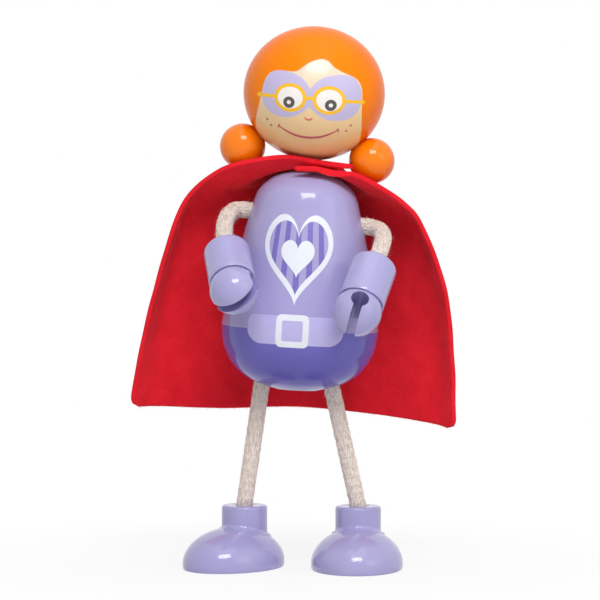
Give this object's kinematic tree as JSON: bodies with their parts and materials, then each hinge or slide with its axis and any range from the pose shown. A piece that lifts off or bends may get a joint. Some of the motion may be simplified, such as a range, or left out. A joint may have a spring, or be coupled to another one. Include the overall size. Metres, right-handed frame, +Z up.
{
  "type": "bendy doll",
  "caption": "Standing bendy doll with a turned wooden head and torso, wired rope arms and legs, ball hands that grip, domed boots and a felt cape.",
  "frame": {"origin": "middle of the doll's box at the height of its soles", "axes": "+Z up along the standing doll, -Y the way it looks, +X to its own left"},
  "size_m": [0.0731, 0.0469, 0.1178],
  "materials": {
    "lilac_wood": "gloss lilac paint on turned wood, darker violet below the belt",
    "skin_wood": "clear varnish on pale wood, with orange gloss paint for the hair",
    "hair_paint": "orange gloss paint on turned wood",
    "bare_wood": "plain dowel",
    "lilac_plastic": "satin moulded plastic",
    "cotton_rope": "soft braided cotton",
    "steel_wire": "plain drawn wire",
    "red_felt": "felt"
  },
  "bodies": {
    "torso": {"torso": "lilac_wood", "neck_peg": "bare_wood", "arm_rope_middle": "cotton_rope", "arm_wire_middle": "steel_wire", "right_leg_rope_root": "cotton_rope", "right_leg_wire_root": "steel_wire", "left_leg_rope_root": "cotton_rope", "left_leg_wire_root": "steel_wire", "cape_yoke": "red_felt"},
    "head": {"head_ball": "skin_wood", "bun_right": "hair_paint", "bun_left": "hair_paint", "bun_pin_right": "bare_wood", "bun_pin_left": "bare_wood"},
    "cape": {"cape_panel": "red_felt"},
    "right_upper_arm": {"right_arm_rope_upper": "cotton_rope", "right_arm_wire_upper": "steel_wire"},
    "right_lower_arm": {"right_arm_rope_lower": "cotton_rope", "right_arm_wire_lower": "steel_wire"},
    "right_forearm": {"right_arm_rope_end": "cotton_rope", "right_arm_wire_end": "steel_wire", "right_cuff": "lilac_plastic"},
    "right_hand": {"right_hand": "lilac_plastic"},
    "right_hip": {"right_leg_rope_upper": "cotton_rope", "right_leg_wire_upper": "steel_wire"},
    "right_thigh": {"right_leg_rope_middle": "cotton_rope", "right_leg_wire_middle": "steel_wire"},
    "right_shin": {"right_leg_rope_lower": "cotton_rope", "right_leg_wire_lower": "steel_wire"},
    "right_foot": {"right_leg_rope_end": "cotton_rope", "right_leg_wire_end": "steel_wire", "right_boot": "lilac_plastic"},
    "left_upper_arm": {"left_arm_rope_upper": "cotton_rope", "left_arm_wire_upper": "steel_wire"},
    "left_lower_arm": {"left_arm_rope_lower": "cotton_rope", "left_arm_wire_lower": "steel_wire"},
    "left_forearm": {"left_arm_rope_end": "cotton_rope", "left_arm_wire_end": "steel_wire", "left_cuff": "lilac_plastic"},
    "left_hand": {"left_hand": "lilac_plastic"},
    "left_hip": {"left_leg_rope_upper": "cotton_rope", "left_leg_wire_upper": "steel_wire"},
    "left_thigh": {"left_leg_rope_middle": "cotton_rope", "left_leg_wire_middle": "steel_wire"},
    "left_shin": {"left_leg_rope_lower": "cotton_rope", "left_leg_wire_lower": "steel_wire"},
    "left_foot": {"left_leg_rope_end": "cotton_rope", "left_leg_wire_end": "steel_wire", "left_boot": "lilac_plastic"}
  },
  "joints": [
    {"name": "neck_turn", "type": "hinge", "parent": "torso", "child": "head", "pos_m": [0.00378, 0.0038, 0.08614], "axis": [0.0785, 0, 0.9969], "range_deg": [-60, 60], "deforming": ["cape_yoke"]},
    {"name": "cape_swing", "type": "hinge", "parent": "torso", "child": "cape", "pos_m": [0.00243, 0.01804, 0.07402], "axis": [0.9986, 0, -0.0523], "range_deg": [0, 60], "stiffness_Nm_per_rad": 0.002, "springref_deg": -4.58, "deforming": ["cape_yoke"]},
    {"name": "right_shoulder_raise", "type": "hinge", "parent": "torso", "child": "right_upper_arm", "pos_m": [-0.01018, 0.0038, 0.07799], "axis": [0, 1, 0], "range_deg": [0, 60]},
    {"name": "right_arm_spread", "type": "hinge", "parent": "right_upper_arm", "child": "right_lower_arm", "pos_m": [-0.01393, -0.00097, 0.07486], "axis": [-0.0523, 0, -0.9986], "range_deg": [0, 60]},
    {"name": "right_elbow_lift", "type": "hinge", "parent": "right_lower_arm", "child": "right_forearm", "pos_m": [-0.01313, -0.00703, 0.07011], "axis": [-0.9986, 0, 0.0523], "range_deg": [-8, 60]},
    {"name": "right_hand_turn", "type": "hinge", "parent": "right_forearm", "child": "right_hand", "pos_m": [-0.01285, -0.0081, 0.06925], "axis": [-0.2046, 0.7622, 0.6142], "continuous": true},
    {"name": "right_hip_spread", "type": "hinge", "parent": "torso", "child": "right_hip", "pos_m": [-0.00655, 0.0038, 0.03854], "axis": [0, 1, 0], "range_deg": [-4, 40]},
    {"name": "right_hip_swing", "type": "hinge", "parent": "right_hip", "child": "right_thigh", "pos_m": [-0.00719, 0.0038, 0.03408], "axis": [-1, 0, 0], "range_deg": [-45, 60]},
    {"name": "right_knee_bend", "type": "hinge", "parent": "right_thigh", "child": "right_shin", "pos_m": [-0.00859, 0.0038, 0.02439], "axis": [1, 0, 0], "range_deg": [-60, 60]},
    {"name": "right_ankle_tilt", "type": "hinge", "parent": "right_shin", "child": "right_foot", "pos_m": [-0.00999, 0.0038, 0.0147], "axis": [-1, 0, 0], "range_deg": [-45, 45]},
    {"name": "left_shoulder_raise", "type": "hinge", "parent": "torso", "child": "left_upper_arm", "pos_m": [0.01709, 0.0038, 0.07425], "axis": [0, -1, 0], "range_deg": [0, 60]},
    {"name": "left_arm_spread", "type": "hinge", "parent": "left_upper_arm", "child": "left_lower_arm", "pos_m": [0.02046, -0.0013, 0.07154], "axis": [0.0523, 0, 0.9986], "range_deg": [0, 60]},
    {"name": "left_elbow_lift", "type": "hinge", "parent": "left_lower_arm", "child": "left_forearm", "pos_m": [0.0194, -0.00731, 0.06738], "axis": [-0.9986, 0, 0.0523], "range_deg": [-8, 60]},
    {"name": "left_hand_turn", "type": "hinge", "parent": "left_forearm", "child": "left_hand", "pos_m": [0.01907, -0.0082, 0.06635], "axis": [0.2355, 0.6356, 0.7352], "continuous": true},
    {"name": "left_hip_spread", "type": "hinge", "parent": "torso", "child": "left_hip", "pos_m": [0.00933, 0.0038, 0.03775], "axis": [0, -1, 0], "range_deg": [-4, 40]},
    {"name": "left_hip_swing", "type": "hinge", "parent": "left_hip", "child": "left_thigh", "pos_m": [0.01031, 0.0038, 0.03336], "axis": [-1, 0, 0], "range_deg": [-45, 60]},
    {"name": "left_knee_bend", "type": "hinge", "parent": "left_thigh", "child": "left_shin", "pos_m": [0.0124, 0.0038, 0.02403], "axis": [1, 0, 0], "range_deg": [-60, 60]},
    {"name": "left_ankle_tilt", "type": "hinge", "parent": "left_shin", "child": "left_foot", "pos_m": [0.01448, 0.0038, 0.0147], "axis": [-1, 0, 0], "range_deg": [-45, 45]}
  ]
}
